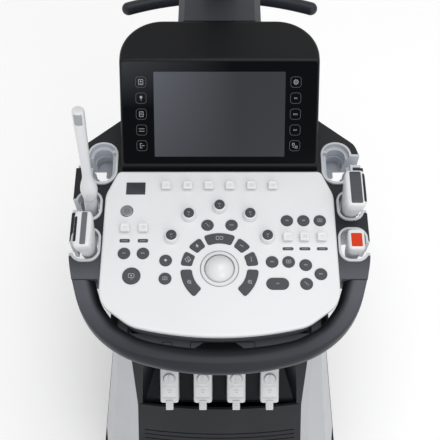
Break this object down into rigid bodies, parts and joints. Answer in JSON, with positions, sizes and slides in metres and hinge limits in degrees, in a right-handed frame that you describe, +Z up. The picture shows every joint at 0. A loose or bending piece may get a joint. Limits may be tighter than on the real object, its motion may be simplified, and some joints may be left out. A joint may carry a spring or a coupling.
{
  "type": "ultrasound machine",
  "caption": "Cart-based ultrasound machine: tilted control console with touch screen, arm-mounted monitor, probe cups, height column and swivel casters.",
  "frame": {"origin": "on the floor, under the middle of the footprint", "axes": "+X to the user's right, +Y away from the user, +Z up"},
  "size_m": [0.524, 0.86, 1.5],
  "materials": {
    "panel_white": "satin moulded plastic",
    "key_grey": "fine matt",
    "button_silver": "satin",
    "ball_pearl": "polished",
    "tray_charcoal": "fine textured",
    "cup_grey": "translucent satin",
    "housing_black": "fine textured",
    "screen_glass": "polished",
    "cover_grey": "satin moulded plastic",
    "front_dark": "fine textured",
    "plug_white": "satin",
    "probe_white": "smooth",
    "frame_steel": "powder coat",
    "column_aluminium": "anodised",
    "screw_steel": "zinc plated",
    "caster_grey": "moulded",
    "wheel_rubber": "soft, non-marking"
  },
  "bodies": {
    "cart": {"chassis_frame": "frame_steel", "base_cover": "front_dark", "left_side_cover": "cover_grey", "right_side_cover": "cover_grey", "front_cover": "front_dark", "upper_cover": "front_dark", "rear_cover": "front_dark", "io_panel": "front_dark", "power_supply": "frame_steel", "electronics_cage": "frame_steel", "fan_frame": "front_dark", "lift_column": "column_aluminium", "cover_screws": "screw_steel", "rear_handle": "tray_charcoal"},
    "lift": {"lift_carriage": "column_aluminium"},
    "console": {"console_tray": "tray_charcoal", "console_base": "tray_charcoal", "control_panel": "panel_white", "front_handle": "tray_charcoal", "cups": "cup_grey", "touch_housing": "housing_black", "touch_display": "screen_glass", "neck": "tray_charcoal", "trackball_ring": "button_silver"},
    "trackball": {"trackball": "ball_pearl"},
    "encoder_rear": {"encoder_rear": "panel_white"},
    "encoder_rear_left": {"encoder_rear_left": "panel_white"},
    "encoder_rear_right": {"encoder_rear_right": "panel_white"},
    "encoder_left": {"encoder_left": "panel_white"},
    "encoder_right": {"encoder_right": "panel_white"},
    "menu_paddles": {"menu_paddles": "panel_white"},
    "left_paddles": {"left_paddles": "panel_white"},
    "right_paddles": {"right_paddles": "panel_white"},
    "panel_keys": {"panel_keys": "key_grey"},
    "freeze_key": {"freeze_key": "key_grey"},
    "power_button": {"power_button": "button_silver"},
    "arc_keys": {"arc_keys": "key_grey"},
    "set_keys": {"set_keys": "key_grey"},
    "keyboard": {"keyboard_tray": "tray_charcoal"},
    "keyboard_keys": {"keyboard_keys": "key_grey"},
    "rod_probe": {"rod_probe": "probe_white"},
    "flat_probe": {"flat_probe": "probe_white"},
    "convex_probe": {"convex_probe": "probe_white"},
    "sector_probe": {"sector_probe": "probe_white"},
    "monitor_arm": {"monitor_arm": "tray_charcoal"},
    "monitor_head": {"monitor_head": "tray_charcoal"},
    "monitor": {"monitor_housing": "housing_black", "monitor_screen": "screen_glass"},
    "front_left_caster": {"front_left_fork": "caster_grey"},
    "front_left_wheel": {"front_left_wheel": "wheel_rubber"},
    "front_left_brake": {"front_left_brake_pedal": "caster_grey"},
    "front_right_caster": {"front_right_fork": "caster_grey"},
    "front_right_wheel": {"front_right_wheel": "wheel_rubber"},
    "front_right_brake": {"front_right_brake_pedal": "caster_grey"},
    "rear_left_caster": {"rear_left_fork": "caster_grey"},
    "rear_left_wheel": {"rear_left_wheel": "wheel_rubber"},
    "rear_right_caster": {"rear_right_fork": "caster_grey"},
    "rear_right_wheel": {"rear_right_wheel": "wheel_rubber"},
    "fan_rotor": {"fan_rotor": "front_dark"},
    "probe_plugs": {"probe_plugs": "plug_white"}
  },
  "joints": [
    {"name": "console_lift", "type": "slide", "parent": "cart", "child": "lift", "axis": [0, 0, 1], "range_m": [0, 0.15]},
    {"name": "console_swivel", "type": "hinge", "parent": "lift", "child": "console", "pos_m": [0, 0.06, 0.79], "axis": [0, 0, 1], "range_deg": [-30, 30]},
    {"name": "trackball_roll", "type": "hinge", "parent": "console", "child": "trackball", "pos_m": [0, -0.25878, 0.87008], "axis": [1, 0, 0], "continuous": true},
    {"name": "encoder_rear_turn", "type": "hinge", "parent": "console", "child": "encoder_rear", "pos_m": [0, -0.14933, 0.89359], "axis": [0, -0.1219, 0.9925], "continuous": true},
    {"name": "encoder_rear_left_turn", "type": "hinge", "parent": "console", "child": "encoder_rear_left", "pos_m": [-0.051, -0.16472, 0.8917], "axis": [0, -0.1219, 0.9925], "continuous": true},
    {"name": "encoder_rear_right_turn", "type": "hinge", "parent": "console", "child": "encoder_rear_right", "pos_m": [0.051, -0.16472, 0.8917], "axis": [0, -0.1219, 0.9925], "continuous": true},
    {"name": "encoder_left_turn", "type": "hinge", "parent": "console", "child": "encoder_left", "pos_m": [-0.079, -0.20491, 0.88676], "axis": [0, -0.1219, 0.9925], "continuous": true},
    {"name": "encoder_right_turn", "type": "hinge", "parent": "console", "child": "encoder_right", "pos_m": [0.079, -0.20491, 0.88676], "axis": [0, -0.1219, 0.9925], "continuous": true},
    {"name": "menu_paddle_rock", "type": "hinge", "parent": "console", "child": "menu_paddles", "pos_m": [0, -0.10994, 0.89691], "axis": [1, 0, 0], "range_deg": [-12, 12], "stiffness_Nm_per_rad": 0.02},
    {"name": "left_paddle_rock", "type": "hinge", "parent": "console", "child": "left_paddles", "pos_m": [-0.141, -0.18935, 0.88716], "axis": [1, 0, 0], "range_deg": [-12, 12], "stiffness_Nm_per_rad": 0.02},
    {"name": "right_paddle_rock", "type": "hinge", "parent": "console", "child": "right_paddles", "pos_m": [0.1397, -0.20572, 0.88515], "axis": [1, 0, 0], "range_deg": [-12, 12], "stiffness_Nm_per_rad": 0.02},
    {"name": "panel_key_press", "type": "slide", "parent": "console", "child": "panel_keys", "axis": [0, 0.1219, -0.9925], "range_m": [0, 0.0015], "stiffness_N_per_m": 300, "springref_m": -0.003},
    {"name": "freeze_key_press", "type": "slide", "parent": "console", "child": "freeze_key", "axis": [0, 0.1219, -0.9925], "range_m": [0, 0.0015], "stiffness_N_per_m": 300, "springref_m": -0.003},
    {"name": "power_button_press", "type": "slide", "parent": "console", "child": "power_button", "axis": [0, 0.1219, -0.9925], "range_m": [0, 0.0015], "stiffness_N_per_m": 300, "springref_m": -0.003},
    {"name": "arc_key_press", "type": "slide", "parent": "console", "child": "arc_keys", "axis": [0, 0.1219, -0.9925], "range_m": [0, 0.0015], "stiffness_N_per_m": 300, "springref_m": -0.003},
    {"name": "set_key_press", "type": "slide", "parent": "console", "child": "set_keys", "axis": [0, 0.1219, -0.9925], "range_m": [0, 0.0015], "stiffness_N_per_m": 300, "springref_m": -0.003},
    {"name": "keyboard_slide", "type": "slide", "parent": "console", "child": "keyboard", "axis": [0, -0.9925, -0.1219], "range_m": [0, 0.13]},
    {"name": "keyboard_key_press", "type": "slide", "parent": "keyboard", "child": "keyboard_keys", "axis": [0, 0.1219, -0.9925], "range_m": [0, 0.002], "stiffness_N_per_m": 800, "springref_m": -0.004},
    {"name": "rod_probe_lift", "type": "slide", "parent": "console", "child": "rod_probe", "axis": [0.0337, 0.1392, 0.9897], "range_m": [0, 0.12]},
    {"name": "flat_probe_lift", "type": "slide", "parent": "console", "child": "flat_probe", "axis": [0, -0.1219, 0.9925], "range_m": [0, 0.12]},
    {"name": "convex_probe_lift", "type": "slide", "parent": "console", "child": "convex_probe", "axis": [0, -0.1219, 0.9925], "range_m": [0, 0.12]},
    {"name": "sector_probe_lift", "type": "slide", "parent": "console", "child": "sector_probe", "axis": [0, -0.1219, 0.9925], "range_m": [0, 0.12]},
    {"name": "monitor_arm_swing", "type": "hinge", "parent": "console", "child": "monitor_arm", "pos_m": [0, 0.218, 1.09], "axis": [0, 0, 1], "range_deg": [-45, 45]},
    {"name": "monitor_swivel", "type": "hinge", "parent": "monitor_arm", "child": "monitor_head", "pos_m": [0, 0.15, 1.36], "axis": [0, 0, 1], "range_deg": [-45, 45]},
    {"name": "monitor_tilt", "type": "hinge", "parent": "monitor_head", "child": "monitor", "pos_m": [0, 0.112, 1.362], "axis": [1, 0, 0], "range_deg": [-25, 5]},
    {"name": "front_left_caster_swivel", "type": "hinge", "parent": "cart", "child": "front_left_caster", "pos_m": [-0.212, -0.335, 0.145], "axis": [0, 0, 1], "continuous": true},
    {"name": "front_left_wheel_spin", "type": "hinge", "parent": "front_left_caster", "child": "front_left_wheel", "pos_m": [-0.212, -0.3, 0.0625], "axis": [1, 0, 0], "continuous": true},
    {"name": "front_left_brake_press", "type": "hinge", "parent": "front_left_caster", "child": "front_left_brake", "pos_m": [-0.212, -0.369, 0.122], "axis": [1, 0, 0], "range_deg": [0, 20]},
    {"name": "front_right_caster_swivel", "type": "hinge", "parent": "cart", "child": "front_right_caster", "pos_m": [0.212, -0.335, 0.145], "axis": [0, 0, 1], "continuous": true},
    {"name": "front_right_wheel_spin", "type": "hinge", "parent": "front_right_caster", "child": "front_right_wheel", "pos_m": [0.212, -0.3, 0.0625], "axis": [1, 0, 0], "continuous": true},
    {"name": "front_right_brake_press", "type": "hinge", "parent": "front_right_caster", "child": "front_right_brake", "pos_m": [0.212, -0.369, 0.122], "axis": [1, 0, 0], "range_deg": [0, 20]},
    {"name": "rear_left_caster_swivel", "type": "hinge", "parent": "cart", "child": "rear_left_caster", "pos_m": [-0.212, 0.33, 0.145], "axis": [0, 0, 1], "continuous": true},
    {"name": "rear_left_wheel_spin", "type": "hinge", "parent": "rear_left_caster", "child": "rear_left_wheel", "pos_m": [-0.212, 0.365, 0.0625], "axis": [1, 0, 0], "continuous": true},
    {"name": "rear_right_caster_swivel", "type": "hinge", "parent": "cart", "child": "rear_right_caster", "pos_m": [0.212, 0.33, 0.145], "axis": [0, 0, 1], "continuous": true},
    {"name": "rear_right_wheel_spin", "type": "hinge", "parent": "rear_right_caster", "child": "rear_right_wheel", "pos_m": [0.212, 0.365, 0.0625], "axis": [1, 0, 0], "continuous": true},
    {"name": "fan_spin", "type": "hinge", "parent": "cart", "child": "fan_rotor", "pos_m": [0, 0.339, 0.45], "axis": [0, 1, 0], "continuous": true},
    {"name": "probe_plugs_pull", "type": "slide", "parent": "cart", "child": "probe_plugs", "axis": [0, -0.7071, 0.7071], "range_m": [0, 0.03]}
  ]
}
